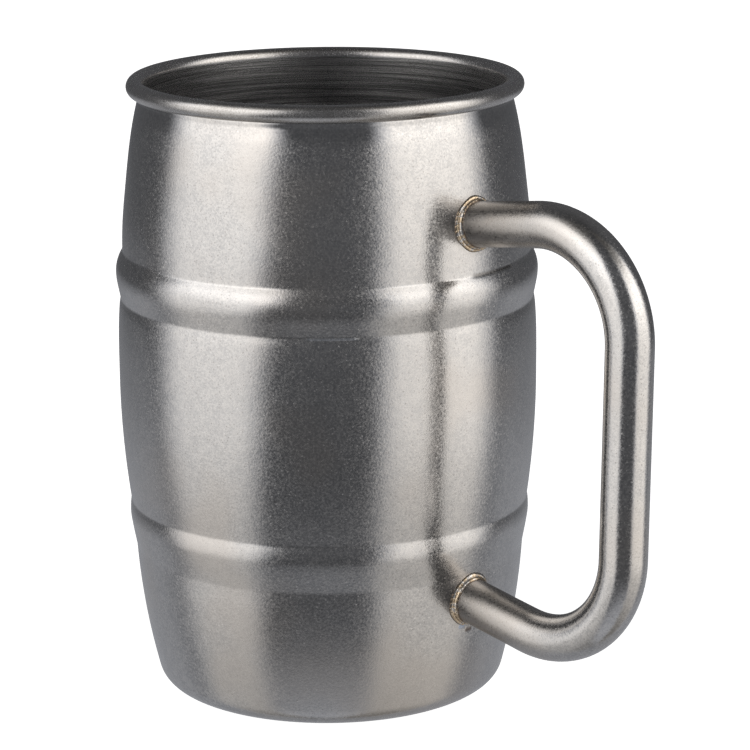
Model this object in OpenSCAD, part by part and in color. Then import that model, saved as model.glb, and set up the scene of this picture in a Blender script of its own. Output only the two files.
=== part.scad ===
// Double-walled barrel mug: a spun steel barrel with two pressed hoops, a drawn
// inner cup whose lip is curled over the barrel's edge, and a bent tube handle
// welded on at both ends.
// Frame: +Z up, origin on the barrel's axis at the foot, handle towards +X.

/* [Overall] */
// Outer diameter of the curled lip
rim_d = 85; // [70:0.5:110]
// Height from the foot to the top of the lip
height = 134; // [108:1:170]

/* [Lip and inner cup] */
// Diameter of the curled lip's own round section
lip_d = 3.8; // [3:0.1:5]
// Sheet thickness of the inner cup
cup_sheet = 0.5; // [0.4:0.05:0.7]
// Height of the inner cup's underside above the foot
cup_z = 10; // [8:0.5:20]
// Outer radius of the inner cup's bottom corner
cup_corner = 12; // [6:0.5:18]
// Radial room between the inner cup and the barrel's neck
neck_gap = 0.35; // [0.2:0.05:0.6]
// Room between the barrel's neck and the free edge of the curl
curl_gap = 0.15; // [0.1:0.05:0.4]

/* [Barrel] */
// Sheet thickness of the barrel
shell_sheet = 0.6; // [0.4:0.05:0.9]
// Straight length of the neck inside and under the lip
neck_h = 3.1; // [2:0.1:6]
// Radius of the long curve between the neck and the upper hoop
shoulder_arc = 220; // [100:5:400]
// Radius of the long curve between the two hoops
belly_arc = 200; // [120:5:400]
// Radius of the long curve between the lower hoop and the foot
lower_arc = 150; // [100:5:400]

/* [Upper hoop] */
// Depth of the hoop's top crease below the rim
upper_hoop_depth = 37.3; // [32:0.1:45]
// Height of the hoop from crease to crease
upper_hoop_h = 10.5; // [8:0.1:14]
// How far the top crease stands outside the rim's radius
upper_hoop_top_out = 1.6; // [0.5:0.05:3]
// How far the bottom crease stands outside the rim's radius
upper_hoop_bottom_out = 2.15; // [0.5:0.05:4]
// How far the hoop swells outside the line between its creases
upper_hoop_swell = 1.2; // [0.5:0.05:2]

/* [Lower hoop] */
// Height of the hoop's bottom crease above the foot
lower_hoop_z = 31.2; // [26:0.1:38]
// Height of the hoop from crease to crease
lower_hoop_h = 10.4; // [8:0.1:14]
// How far the top crease stands outside the rim's radius
lower_hoop_top_out = 0.9; // [0.3:0.05:2]
// How far the bottom crease lies inside the rim's radius
lower_hoop_bottom_in = 0.15; // [0:0.05:1.5]
// How far the hoop swells outside the line between its creases
lower_hoop_swell = 0.62; // [0.3:0.02:2]

/* [Foot and base] */
// How far the foot fillet's centre lies inside the rim's radius
foot_inset = 9.4; // [7:0.1:12]
// Outer radius of the foot's fillet
foot_fillet = 5.1; // [3:0.1:7]
// Width of the flat ring that the mug stands on
land_w = 2.6; // [1.5:0.1:4]
// Outer radius of the bend from the flat ring up into the collar
collar_bend = 1.4; // [1.1:0.1:2]
// Height of the turned-up collar that holds the base disc
collar_h = 5; // [4.5:0.1:6.5]
// Sheet thickness of the base disc
base_sheet = 0.6; // [0.5:0.05:0.8]
// Height of the base disc's underside above the foot
base_recess = 3.8; // [3.7:0.05:4.5]
// Length of the base disc's skirt below its underside
skirt_h = 1.6; // [1:0.05:1.7]
// Outer radius of the bend between the base disc and its skirt
base_bend = 1.2; // [0.9:0.1:1.6]
// Radial clearance between the base disc's skirt and the collar
base_gap = 0.1; // [0.05:0.01:0.2]
// Leg of the weld under the base disc's skirt
base_weld_leg = 0.6; // [0.4:0.05:0.7]

/* [Handle] */
// Outer diameter of the handle's tube
tube_d = 10; // [8:0.1:12]
// Wall thickness of the handle's tube
tube_wall = 0.8; // [0.5:0.05:1.2]
// How far the upper bend's corner stands outside the rim's radius
handle_reach = 43; // [36:0.2:52]
// Lean of the grip towards the barrel at its lower end, in degrees
grip_lean = 1.3; // [0:0.1:5]
// Radius of both bends, on the tube's centreline
bend_r = 21.6; // [15:0.2:25]
// Depth of the upper arm's centreline below the rim, where it meets the barrel
upper_arm_depth = 26.6; // [22:0.2:30]
// Rise of the upper arm outwards, in degrees
upper_arm_rise = 7.4; // [0:0.2:12]
// Height of the lower arm's centreline above the foot, where it meets the barrel
lower_arm_z = 25.8; // [22:0.2:30]
// Fall of the lower arm outwards, in degrees
lower_arm_fall = 10.4; // [5:0.2:20]
// Radius of the weld bead's own round section
weld_r = 1.4; // [0.8:0.1:2]

/* [Hidden] */
$fn = 128;

// Longest step between two points of an outline's arc, and the fewest steps in one
arc_step = 2;
arc_min = 6;

rim_r = rim_d / 2;
lip_r = lip_d / 2;
lip_z = height - lip_r;
lip_centre_r = rim_r - lip_r;
cup_r = rim_r - lip_d;
neck_r = cup_r + cup_sheet + neck_gap + shell_sheet;
neck_z = lip_z - neck_h;

foot_r = rim_r - foot_inset;
collar_r = foot_r - land_w - collar_bend;
skirt_r = collar_r - base_gap;
skirt_z = base_recess - skirt_h;

// Creases of the barrel, each as [radius, height], from the top down
upper_top = [rim_r + upper_hoop_top_out, height - upper_hoop_depth];
upper_bottom = [rim_r + upper_hoop_bottom_out, upper_top.y - upper_hoop_h];
lower_bottom = [rim_r - lower_hoop_bottom_in, lower_hoop_z];
lower_top = [rim_r + lower_hoop_top_out, lower_hoop_z + lower_hoop_h];

// Handle centreline, as [distance from the axis, height] at its two corners
upper_corner = [
    rim_r + handle_reach,
    height - upper_arm_depth + (handle_reach - upper_hoop_top_out) * tan(upper_arm_rise)
];
lean_fall = tan(grip_lean) * tan(lower_arm_fall);
grip_foot_z = (lower_arm_z - (upper_corner.x - lower_bottom.x) * tan(lower_arm_fall)
    + upper_corner.y * lean_fall) / (1 + lean_fall);
lower_corner = [
    upper_corner.x - (upper_corner.y - grip_foot_z) * tan(grip_lean),
    grip_foot_z
];

// Headings along the centreline, in degrees from +X towards +Z
upper_heading = upper_arm_rise;
grip_heading = -90 - grip_lean;
lower_heading = -180 - lower_arm_fall;

// The straight runs are a hair thinner in the wall than the bends and enter them a
// little way, so that the tube is one solid
run_ease = 0.02;
run_lap = 0.4;
run_d = tube_d - 2 * run_ease;

// What each bend takes off the straight runs on either side of its corner
upper_cut = bend_r * tan((upper_heading - grip_heading) / 2);
lower_cut = bend_r * tan((grip_heading - lower_heading) / 2);

// Where the arms start and end, well inside the barrel's solid
arm_root_r = rim_r / 2;

function polar(r, a) = r * [cos(a), sin(a)];
function angle_of(v) = atan2(v.y, v.x);
function reversed(list) = [for (i = [len(list) - 1:-1:0]) list[i]];
function arc_steps(r, sweep) = max(arc_min, ceil(r * abs(sweep) * PI / 180 / arc_step));

// Points of the arc about a centre, from angle a0 to angle a1
function arc_about(centre, r, a0, a1) =
    let (n = arc_steps(r, a1 - a0))
    [for (i = [0:n]) centre + polar(r, a0 + (a1 - a0) * i / n)];

// Centre of the arc of radius r that goes down from p to q and swells outwards
function centre_of(p, q, r) =
    let (half = norm(q - p) / 2, u = (q - p) / norm(q - p))
    (p + q) / 2 + sqrt(r * r - half * half) * [u.y, -u.x];

// Points of that arc
function arc_down(p, q, r) =
    let (c = centre_of(p, q, r))
    arc_about(c, r, angle_of(p - c), angle_of(q - c));

// Radius of an arc with a given swell over the line from p to q
function swell_radius(p, q, swell) =
    let (half = norm(q - p) / 2)
    (half * half + swell * swell) / (2 * swell);

// Centre of an arc of radius r from p that runs smoothly into the circle c, cr
function tangent_centre(p, r, c, cr) =
    let (
        gap = norm(p - c),
        along = (r * r - (r - cr) * (r - cr) + gap * gap) / (2 * gap),
        u = (c - p) / gap
    )
    p + along * u + sqrt(r * r - along * along) * [u.y, -u.x];

lower_centre = tangent_centre(lower_bottom, lower_arc, [foot_r, foot_fillet], foot_fillet);
foot_angle = angle_of([foot_r, foot_fillet] - lower_centre);
upper_swell_r = swell_radius(upper_top, upper_bottom, upper_hoop_swell);
lower_swell_r = swell_radius(lower_top, lower_bottom, lower_hoop_swell);

// A barrel point moved towards the axis by d
function inward(p, d) = p - [d, 0];

// The barrel's outline from its top edge to the collar's top edge, d below its skin
function barrel_outline(d) = concat(
    [[neck_r - d, lip_z]],
    arc_down([neck_r - d, neck_z], inward(upper_top, d), shoulder_arc),
    arc_down(inward(upper_top, d), inward(upper_bottom, d), upper_swell_r),
    arc_down(inward(upper_bottom, d), inward(lower_top, d), belly_arc),
    arc_down(inward(lower_top, d), inward(lower_bottom, d), lower_swell_r),
    arc_about(lower_centre, lower_arc - d, angle_of(lower_bottom - lower_centre), foot_angle),
    arc_about([foot_r, foot_fillet], foot_fillet - d, foot_angle, -90),
    arc_about([collar_r + collar_bend, collar_bend], collar_bend - d, -90, -180),
    [[collar_r + d, collar_h]]
);

// The base disc's outline from its skirt's edge to the axis, d above its underside
function base_outline(d) = concat(
    [[skirt_r - base_sheet + d, skirt_z]],
    arc_about(
        [skirt_r - base_bend, base_recess + base_sheet - base_bend],
        base_bend - base_sheet + d, 0, 90
    ),
    [[0, base_recess + d]]
);

// Everything inside the barrel's skin, as one solid
module barrel_solid() {
    rotate_extrude()
        polygon(concat([[0, lip_z]], barrel_outline(0), [[0, collar_h]]));
}

// A straight run of the section given as a child, from a point along a heading
module straight_run(start, heading, length) {
    translate([start.x, 0, start.y])
        rotate([0, 90 - heading, 0])
            linear_extrude(length)
                children();
}

// A bend of that section at a corner, from one heading clockwise to the next
module bend_run(corner, heading_in, heading_out) {
    turn = heading_in - heading_out;
    centre = corner - polar(bend_r * tan(turn / 2), heading_in) + polar(bend_r, heading_in - 90);
    translate([centre.x, 0, centre.y])
        rotate([90, 0, 0])
            rotate_extrude(angle = turn, start = heading_out + 90)
                translate([bend_r, 0])
                    children();
}

module upper_arm() {
    start = upper_corner - polar(upper_cut - run_lap, upper_heading);
    length = (upper_corner.x - arm_root_r) / cos(upper_arm_rise) - upper_cut + run_lap;
    straight_run(start, upper_heading + 180, length)
        children();
}

module lower_arm() {
    start = lower_corner + polar(lower_cut - run_lap, lower_heading);
    length = (lower_corner.x - arm_root_r) / cos(lower_arm_fall) - lower_cut + run_lap;
    straight_run(start, lower_heading, length)
        children();
}

module grip() {
    start = upper_corner + polar(upper_cut - run_lap, grip_heading);
    length = norm(upper_corner - lower_corner) - upper_cut - lower_cut + 2 * run_lap;
    straight_run(start, grip_heading, length)
        children();
}

// A round bead where an arm leaves the barrel, square to the barrel's wall
module bead(root, tilt) {
    translate([root.x, 0, root.y])
        rotate([0, 90 - tilt, 0])
            rotate_extrude()
                translate([tube_d / 2, 0])
                    circle(r = weld_r);
}

// Spun barrel with its two hoops, its foot and its turned-up collar
module outer_shell() {
    color("silver")
        rotate_extrude()
            polygon(concat(barrel_outline(0), reversed(barrel_outline(shell_sheet))));
}

// Drawn cup: flat floor, round corner, straight wall and curled lip
module inner_cup() {
    corner_r = cup_r + cup_sheet - cup_corner;
    color("gainsboro")
        rotate_extrude() {
            difference() {
                translate([lip_centre_r, lip_z])
                    circle(r = lip_r);
                translate([lip_centre_r, lip_z])
                    circle(r = lip_r - cup_sheet);
                translate([0, lip_z - lip_d])
                    square([neck_r + curl_gap, lip_d]);
            }
            translate([cup_r, cup_z + cup_corner])
                square([cup_sheet, lip_z - cup_z - cup_corner]);
            intersection() {
                difference() {
                    translate([corner_r, cup_z + cup_corner])
                        circle(r = cup_corner);
                    translate([corner_r, cup_z + cup_corner])
                        circle(r = cup_corner - cup_sheet);
                }
                translate([corner_r, cup_z])
                    square([cup_corner, cup_corner]);
            }
            translate([0, cup_z])
                square([corner_r, cup_sheet]);
        }
}

// Pressed disc that closes the barrel inside its collar
module base_disc() {
    color("darkgray")
        rotate_extrude()
            polygon(concat(base_outline(0), reversed(base_outline(base_sheet))));
}

// The tube's ring section, with its wall made thinner by an ease on each side
module tube_section(ease = 0) {
    difference() {
        circle(d = tube_d - 2 * ease);
        circle(d = tube_d - 2 * tube_wall + 2 * ease);
    }
}

// Bent tube, coped at both ends to the barrel
module handle_tube() {
    color("silver")
        union() {
            difference() {
                upper_arm()
                    tube_section(run_ease);
                barrel_solid();
            }
            bend_run(upper_corner, upper_heading, grip_heading)
                tube_section();
            grip()
                tube_section(run_ease);
            bend_run(lower_corner, grip_heading, lower_heading)
                tube_section();
            difference() {
                lower_arm()
                    tube_section(run_ease);
                barrel_solid();
            }
        }
}

// Bead round the upper arm
module upper_handle_weld() {
    centre = centre_of([neck_r, neck_z], upper_top, shoulder_arc);
    tilt = angle_of([upper_top.x, height - upper_arm_depth] - centre);
    color("tan")
        difference() {
            bead(centre + polar(shoulder_arc, tilt), tilt);
            barrel_solid();
            upper_arm()
                circle(d = run_d);
        }
}

// Bead round the lower arm
module lower_handle_weld() {
    tilt = angle_of([lower_bottom.x, lower_arm_z] - lower_centre);
    color("tan")
        difference() {
            bead(lower_centre + polar(lower_arc, tilt), tilt);
            barrel_solid();
            lower_arm()
                circle(d = run_d);
        }
}

// Weld in the hollow of the curl, on top of the barrel's edge
module lip_seam_weld() {
    color("tan")
        rotate_extrude()
            intersection() {
                translate([lip_centre_r, lip_z])
                    circle(r = lip_r - cup_sheet);
                translate([cup_r + cup_sheet, lip_z])
                    square([neck_r - cup_r - cup_sheet, lip_d]);
            }
}

// Fillet weld between the collar and the edge of the base disc's skirt
module base_seam_weld() {
    color("tan")
        rotate_extrude()
            polygon([
                [collar_r, skirt_z],
                [collar_r - base_weld_leg, skirt_z],
                [collar_r, skirt_z - base_weld_leg]
            ]);
}

outer_shell();
inner_cup();
base_disc();
handle_tube();
upper_handle_weld();
lower_handle_weld();
lip_seam_weld();
base_seam_weld();
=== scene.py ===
"""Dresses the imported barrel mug: fine meshes and tumbled-steel finishes in a plain studio.

Lengths in the size fields are millimetres unless a comment says otherwise; meshes are metres.
"""
import logging
import math
from dataclasses import dataclass, field
from enum import Enum
from typing import Dict, List, Optional, Sequence, Tuple, Union

import bpy
import numpy as np
from mathutils import Matrix, Vector

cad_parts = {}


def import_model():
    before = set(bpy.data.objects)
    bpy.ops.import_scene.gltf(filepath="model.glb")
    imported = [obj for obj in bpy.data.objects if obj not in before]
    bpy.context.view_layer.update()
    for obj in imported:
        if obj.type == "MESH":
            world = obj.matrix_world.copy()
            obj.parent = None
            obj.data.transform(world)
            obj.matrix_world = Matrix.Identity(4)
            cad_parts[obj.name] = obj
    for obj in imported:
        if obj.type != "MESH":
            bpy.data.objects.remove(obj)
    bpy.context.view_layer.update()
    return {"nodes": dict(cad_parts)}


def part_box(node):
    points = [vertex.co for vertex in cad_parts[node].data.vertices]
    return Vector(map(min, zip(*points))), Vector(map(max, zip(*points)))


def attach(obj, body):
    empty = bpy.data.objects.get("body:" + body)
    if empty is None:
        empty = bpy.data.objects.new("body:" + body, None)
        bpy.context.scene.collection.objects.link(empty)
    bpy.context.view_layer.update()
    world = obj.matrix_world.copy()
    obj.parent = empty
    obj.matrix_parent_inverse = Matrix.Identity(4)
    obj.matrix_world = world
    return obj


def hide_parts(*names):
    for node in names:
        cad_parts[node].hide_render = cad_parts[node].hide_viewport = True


LOG = logging.getLogger("barrel_mug")
MM = 0.001
ROOT = "root"
TURN = 2 * math.pi

Point = Tuple[float, float]
Span = Tuple[float, float]
Colour = Tuple[float, float, float]
WHITE: Colour = (1.0, 1.0, 1.0)


# ---------------------------------------------------------------- shader expressions


class Value:
    """A shader socket that Python's operators turn into Math nodes."""

    def __init__(self, shader: "Shader", socket: bpy.types.NodeSocket) -> None:
        """Wraps one output socket of a shader's tree."""
        self.shader = shader
        self.socket = socket

    def _math(self, operation: str, *others: "Number", clamp: bool = False) -> "Value":
        """Adds one Math node.

        Args:
            operation: the Math node's operation.
            others: the node's inputs, in order.
            clamp: whether the result is kept within 0 and 1.

        Returns:
            The node's result.
        """
        settings = {"operation": operation, "use_clamp": clamp}
        return self.shader.node("ShaderNodeMath", settings, dict(enumerate(others)))

    def __add__(self, other: "Number") -> "Value":
        """self + other."""
        return self._math("ADD", self, other)

    def __radd__(self, other: "Number") -> "Value":
        """other + self."""
        return self._math("ADD", other, self)

    def __sub__(self, other: "Number") -> "Value":
        """self - other."""
        return self._math("SUBTRACT", self, other)

    def __rsub__(self, other: "Number") -> "Value":
        """other - self."""
        return self._math("SUBTRACT", other, self)

    def __mul__(self, other: "Number") -> "Value":
        """self * other."""
        return self._math("MULTIPLY", self, other)

    def __rmul__(self, other: "Number") -> "Value":
        """other * self."""
        return self._math("MULTIPLY", other, self)

    def __truediv__(self, other: "Number") -> "Value":
        """self / other."""
        return self._math("DIVIDE", self, other)

    def __rtruediv__(self, other: "Number") -> "Value":
        """other / self."""
        return self._math("DIVIDE", other, self)

    def __abs__(self) -> "Value":
        """The size of self without its sign."""
        return self._math("ABSOLUTE", self)

    def clamped(self) -> "Value":
        """self kept within 0 and 1."""
        return self._math("ADD", self, 0.0, clamp=True)

    def arcsine(self) -> "Value":
        """The angle whose sine is self, in radians."""
        return self._math("ARCSINE", self)

    def angle_from(self, other: "Number") -> "Value":
        """The angle of the point (other, self), in radians."""
        return self._math("ARCTAN2", self, other)

    def rise(self, start: "Number", end: "Number") -> "Value":
        """A smooth step.

        Args:
            start: where the step leaves 0.
            end: where it reaches 1.

        Returns:
            0 before start, 1 after end, and a smooth curve between them.
        """
        t = ((self - start) / (end - start)).clamped()
        return t * t * (3.0 - 2.0 * t)

    def bump_at(self, centre: float, reach: float) -> "Value":
        """1 at a centre, falling smoothly to 0 at a reach on either side."""
        return 1.0 - abs(self - centre).rise(0.0, reach)


Number = Union[float, Value]


@dataclass(frozen=True)
class Layer:
    """One scale of a finish's unevenness, as noise from 0 to 1 and about 0.5 on average.

    The size is that of its largest features, and detail and rough say how many finer ones
    it has and how strong they are. The tone is how far it takes the colour from dark to
    light, the dulling how much it adds to the roughness, and the depth its relief.
    """

    size: float
    tone: float = 0.0
    dulling: float = 0.0
    depth: float = 0.0
    detail: float = 2.0
    rough: float = 0.5


@dataclass(frozen=True)
class Spots:
    """Small spots scattered over a finish.

    The gap is about how far apart they are; core and edge are shares of it, and a squash
    above 1 makes the spots flatter than they are wide.
    """

    gap: float
    core: float
    edge: float
    colour: Colour
    strength: float
    dulling: float = 0.0
    squash: float = 1.0


class Shader:
    """The node tree of one material or of the world."""

    def __init__(self, owner: Union[bpy.types.Material, bpy.types.World]) -> None:
        """Empties the owner's node tree and takes it over."""
        owner.use_nodes = True
        self.tree = owner.node_tree
        self.tree.nodes.clear()

    def node(
        self,
        kind: str,
        settings: Optional[Dict[str, object]] = None,
        inputs: Optional[Dict[Union[int, str], object]] = None,
        output: Union[int, str] = 0,
    ) -> Value:
        """Adds one node.

        Args:
            kind: the node's type name.
            settings: the node's own properties, set before its sockets; "stops" is a
                ramp's list of (position, colour).
            inputs: a value or a link for each named or numbered input socket.
            output: the output socket to return.

        Returns:
            The chosen output, wrapped.
        """
        made = self.tree.nodes.new(kind)
        for name, value in (settings or {}).items():
            if name == "stops":
                self._set_stops(made.color_ramp, value)
            else:
                setattr(made, name, value)
        for key, value in (inputs or {}).items():
            if isinstance(value, Value):
                self.tree.links.new(value.socket, made.inputs[key])
            else:
                made.inputs[key].default_value = value
        return Value(self, made.outputs[output])

    @staticmethod
    def _set_stops(ramp: bpy.types.ColorRamp, stops: Sequence[Tuple[float, Colour]]) -> None:
        """Gives a ramp its stops, in order."""
        while len(ramp.elements) < len(stops):
            ramp.elements.new(1.0)
        for element, (position, colour) in zip(ramp.elements, stops):
            element.position = position
            element.color = (*colour, 1.0)

    def curve(self, x: Value, low: float, high: float, stops: Dict[float, float]) -> Value:
        """A smooth curve through a few levels.

        Args:
            x: the value that the curve depends on.
            low: the x at the curve's start.
            high: the x at the curve's end.
            stops: the level at each x.

        Returns:
            The level at x.
        """
        greys = [((at - low) / (high - low), (level,) * 3) for at, level in sorted(stops.items())]
        position = (x - low) / (high - low)
        return self.node("ShaderNodeValToRGB", {"stops": greys}, {0: position})

    def position_mm(self) -> Value:
        """The surface point in the object's own frame, in millimetres."""
        place = self.node("ShaderNodeTexCoord", output="Object")
        return self.scale(place, 1.0 / MM)

    def split(self, vector: Value) -> Tuple[Value, Value, Value]:
        """The three parts of a vector."""
        parts = self.tree.nodes.new("ShaderNodeSeparateXYZ")
        self.tree.links.new(vector.socket, parts.inputs[0])
        return tuple(Value(self, parts.outputs[i]) for i in range(3))

    def join(self, x: Number, y: Number, z: Number) -> Value:
        """A vector from its three parts."""
        return self.node("ShaderNodeCombineXYZ", None, {0: x, 1: y, 2: z})

    def scale(self, vector: Value, by: Number) -> Value:
        """A vector or colour times a number."""
        settings = {"operation": "SCALE"}
        return self.node("ShaderNodeVectorMath", settings, {"Vector": vector, "Scale": by})

    def stretch(self, vector: Value, by: Tuple[float, float, float]) -> Value:
        """A vector times a number on each axis."""
        return self.node("ShaderNodeVectorMath", {"operation": "MULTIPLY"}, {0: vector, 1: by})

    def distance(self, vector: Value, point: Sequence[float]) -> Value:
        """How far a vector is from a fixed point."""
        settings = {"operation": "DISTANCE"}
        inputs = {0: vector, 1: tuple(point)}
        return self.node("ShaderNodeVectorMath", settings, inputs, output="Value")

    def noise(self, at: Value, layer: Layer) -> Value:
        """A layer's noise.

        Args:
            at: the point to read, in millimetres.
            layer: the noise's size and detail.

        Returns:
            A value from 0 to 1, about 0.5 on average.
        """
        inputs = {"Vector": at, "Scale": 1.0 / layer.size}
        inputs |= {"Detail": layer.detail, "Roughness": layer.rough}
        return self.node("ShaderNodeTexNoise", None, inputs)

    def spotted(self, at: Value, spots: Spots) -> Value:
        """Where scattered spots lie.

        Args:
            at: the point to read, in millimetres.
            spots: their size and spacing.

        Returns:
            1 at the spots' cores and 0 past their edges.
        """
        place = self.stretch(at, (1.0, 1.0, spots.squash))
        inputs = {"Vector": place, "Scale": 1.0 / spots.gap}
        nearest = self.node("ShaderNodeTexVoronoi", None, inputs, output="Distance")
        return 1.0 - nearest.rise(spots.core, spots.edge)

    def attribute(self, name: str) -> Value:
        """A number stored on the mesh."""
        return self.node("ShaderNodeAttribute", {"attribute_name": name}, output="Fac")

    def mix(self, a: Union[Value, Colour], b: Union[Value, Colour], factor: Number) -> Value:
        """A blend of two colours.

        Args:
            a: the colour at factor 0.
            b: the colour at factor 1.
            factor: how much of b there is, kept within 0 and 1.

        Returns:
            The blended colour.
        """
        made = self.tree.nodes.new("ShaderNodeMix")
        made.data_type = "RGBA"
        made.clamp_factor = True
        sockets = {"Factor_Float": factor, "A_Color": a, "B_Color": b}
        by_name = {s.identifier: s for s in made.inputs}
        for name, value in sockets.items():
            if isinstance(value, Value):
                self.tree.links.new(value.socket, by_name[name])
            elif isinstance(value, tuple):
                by_name[name].default_value = (*value, 1.0)
            else:
                by_name[name].default_value = value
        result = next(s for s in made.outputs if s.identifier == "Result_Color")
        return Value(self, result)

    def bump(self, height: Value, depth: float, under: Optional[Value] = None) -> Value:
        """A bumped normal.

        Args:
            height: the surface's height, from 0 to 1.
            depth: the height of 1, in millimetres.
            under: a normal that this one is added to.

        Returns:
            The normal.
        """
        inputs = {"Height": height, "Distance": depth * MM, "Strength": 1.0}
        if under is not None:
            inputs["Normal"] = under
        return self.node("ShaderNodeBump", None, inputs)

    def surface(self, kind: str, inputs: Dict[str, object]) -> None:
        """Adds the shader node that the material shows.

        Args:
            kind: the node's type name.
            inputs: a value or a link for each named input socket.
        """
        shown = self.node(kind, None, inputs)
        out = self.tree.nodes.new("ShaderNodeOutputMaterial")
        self.tree.links.new(shown.socket, out.inputs["Surface"])

    def metal(self, base: Value, rough: Value, normal: Value) -> None:
        """Shows bare metal with this colour, roughness and normal."""
        inputs = {"Base Color": base, "Roughness": rough, "Normal": normal, "Metallic": 1.0}
        self.surface("ShaderNodeBsdfPrincipled", inputs)


# ---------------------------------------------------------------- finishes


@dataclass(frozen=True)
class HeatTint:
    """The straw-brown stain that a weld leaves on the steel around it.

    It is full as far as inside and gone at outside, both distances from its centre.
    """

    centre: Tuple[float, float, float]
    inside: float = 5.2
    outside: float = 7.4
    depth: float = 0.24
    dulling: float = 0.0


@dataclass(frozen=True)
class Mark:
    """A short line that runs round the barrel, with a colour and a ridge of its own; on some marks
    the colour is a stain, on one a painted highlight and on another painted shade.

    A positive ridge stands out of the steel; solid is the share of its length that is at
    full strength.
    """

    centre: Tuple[float, float, float]
    half_length: float
    half_width: float
    colour: Colour
    strength: float
    ridge: float
    solid: float = 0.7


@dataclass(frozen=True)
class TumbledSteel:
    """Steel tumbled with stones to a grey, finely speckled pewter tone.

    Streaks run round the mug, faint all over and full at the middle of each brushed band,
    which is a height and a reach. Between the two heights of "polished" the steel grows
    smoother and brighter.
    """

    light: Colour = (0.640, 0.622, 0.603)
    dark: Colour = (0.500, 0.492, 0.486)
    roughness: float = 0.205
    speckle: Layer = Layer(0.46, tone=3.2, dulling=0.32, depth=0.016, detail=1.0, rough=0.6)
    mottle: Layer = Layer(1.7, tone=1.3)
    clouds: Layer = Layer(9.0, tone=0.6, dulling=0.05, detail=3.0)
    patches: Layer = Layer(28.0, depth=0.10)
    warmth: Colour = (0.62, 0.575, 0.53)
    warm_patches: Span = (0.46, 0.66)
    warm_strength: float = 0.55
    pits: Spots = Spots(0.9, 0.10, 0.26, (0.30, 0.28, 0.27), strength=0.5)
    # painted highlights: near-white specks in the colour stand for glints of light off the grain
    painted_glints: Spots = Spots(
        1.3, 0.08, 0.2, (0.90, 0.88, 0.86), strength=0.45, dulling=0.12, squash=1.3
    )
    streaks: Layer = Layer(0.16, tone=0.9, depth=0.006, rough=0.7)
    streak_stretch: float = 0.05
    brushing: float = 0.25
    brushed_bands: Tuple[Tuple[float, float], ...] = ()
    polished: Optional[Span] = None
    polish_smoothing: float = 0.6
    polish_flattening: float = 0.7
    stain: Colour = (0.28, 0.24, 0.20)
    stain_mottle: float = 0.6
    tints: Tuple[HeatTint, ...] = ()
    marks: Tuple[Mark, ...] = ()

    def material(self, name: str) -> bpy.types.Material:
        """Makes the material.

        Args:
            name: the material's name.

        Returns:
            The material, with its colour, roughness and bump from nodes.
        """
        made = bpy.data.materials.new(name)
        shader = Shader(made)
        at = shader.position_mm()
        x, y, z = shader.split(at)

        layers = (self.speckle, self.mottle, self.clouds, self.patches)
        speckle, mottle, clouds, patches = (shader.noise(at, layer) for layer in layers)
        pits = shader.spotted(at, self.pits)
        painted_glints = shader.spotted(at, self.painted_glints)
        streak_at = shader.join(x * self.streak_stretch, y * self.streak_stretch, z)
        streaks = shader.noise(streak_at, self.streaks)
        brushed: Number = self.brushing
        for centre, reach in self.brushed_bands:
            brushed = brushed + z.bump_at(centre, reach) * (1.0 - self.brushing)

        tone = (speckle - 0.5) * self.speckle.tone + (mottle - 0.5) * self.mottle.tone
        tone = tone + (clouds - 0.5) * self.clouds.tone
        tone = tone + (streaks - 0.5) * brushed * self.streaks.tone
        base = shader.mix(self.dark, self.light, (tone + 0.5).clamped())
        base = shader.mix(base, self.pits.colour, pits * self.pits.strength)
        # painted highlights: the glint specks lighten the colour towards near white
        base = shader.mix(base, self.painted_glints.colour, painted_glints * self.painted_glints.strength)
        warm = patches.rise(*self.warm_patches) * self.warm_strength
        base = shader.mix(base, self.warmth, warm)
        rough = self.roughness + (clouds - 0.5) * self.clouds.dulling
        rough = rough + (speckle - 0.5) * self.speckle.dulling + painted_glints * self.painted_glints.dulling

        for tint in self.tints:
            near = 1.0 - shader.distance(at, tint.centre).rise(tint.inside, tint.outside)
            uneven = mottle * self.stain_mottle + (1.0 - self.stain_mottle / 2)
            base = shader.mix(base, self.stain, near * uneven * tint.depth)
            rough = rough + near * tint.dulling
        relief: Number = 1.0
        if self.polished is not None:
            bright = z.rise(*self.polished)
            rough = rough * (1.0 - bright * self.polish_smoothing)
            relief = 1.0 - bright * self.polish_flattening
        normal = shader.bump(speckle * relief, self.speckle.depth)
        normal = shader.bump(streaks * brushed, self.streaks.depth, normal)
        normal = shader.bump(patches, self.patches.depth, normal)

        # marks: a stain on some, and on others a painted highlight or a painted dark reflection laid
        # into the colour
        for mark in self.marks:
            away = shader.distance(at, mark.centre)
            near = 1.0 - away.rise(mark.solid * mark.half_length, mark.half_length)
            line = z.bump_at(mark.centre[2], mark.half_width) * near
            base = shader.mix(base, mark.colour, line * mark.strength)
            normal = shader.bump(line, mark.ridge, normal)
        shader.metal(base, rough, normal)
        return made


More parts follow.
